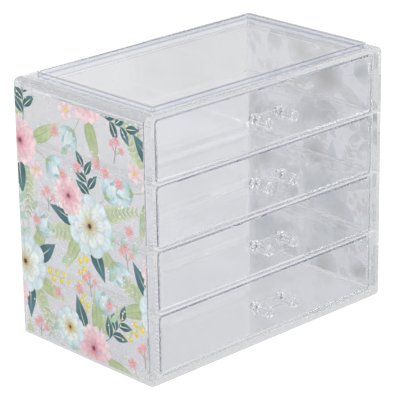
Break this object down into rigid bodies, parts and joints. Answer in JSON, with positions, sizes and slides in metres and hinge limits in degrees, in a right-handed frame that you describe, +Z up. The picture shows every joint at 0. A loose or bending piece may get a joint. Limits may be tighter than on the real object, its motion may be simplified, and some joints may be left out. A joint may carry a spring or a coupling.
{
  "type": "clear drawer organizer",
  "caption": "Clear moulded tabletop organizer with full-width sliding drawers, two-knob handles, printed flower panels on its sides and a low rim round the top.",
  "frame": {"origin": "under the middle of the whole part, knobs included, at the level it stands on", "axes": "+X to the right as seen from the front, +Y to the back, +Z up; the drawers open towards -Y"},
  "size_m": [0.2408, 0.152, 0.2038],
  "materials": {
    "clear_case": "clear moulded polystyrene, polished",
    "clear_drawer": "clear moulded polystyrene, polished",
    "clear_handle": "clear moulded polystyrene, polished",
    "printed_film": "clear glossy film printed with pale flowers and leaves"
  },
  "bodies": {
    "case": {"case_body": "clear_case", "left_print_film": "printed_film", "right_print_film": "printed_film"},
    "drawer_1": {"drawer_1": "clear_drawer", "handle_1": "clear_handle", "handle_caps_1": "clear_handle"},
    "drawer_2": {"drawer_2": "clear_drawer", "handle_2": "clear_handle", "handle_caps_2": "clear_handle"},
    "drawer_3": {"drawer_3": "clear_drawer", "handle_3": "clear_handle", "handle_caps_3": "clear_handle"},
    "drawer_4": {"drawer_4": "clear_drawer", "handle_4": "clear_handle", "handle_caps_4": "clear_handle"}
  },
  "joints": [
    {"name": "drawer_1_slide", "type": "slide", "parent": "case", "child": "drawer_1", "axis": [0, -1, 0], "range_m": [0, 0.11]},
    {"name": "drawer_2_slide", "type": "slide", "parent": "case", "child": "drawer_2", "axis": [0, -1, 0], "range_m": [0, 0.11]},
    {"name": "drawer_3_slide", "type": "slide", "parent": "case", "child": "drawer_3", "axis": [0, -1, 0], "range_m": [0, 0.11]},
    {"name": "drawer_4_slide", "type": "slide", "parent": "case", "child": "drawer_4", "axis": [0, -1, 0], "range_m": [0, 0.11]}
  ]
}
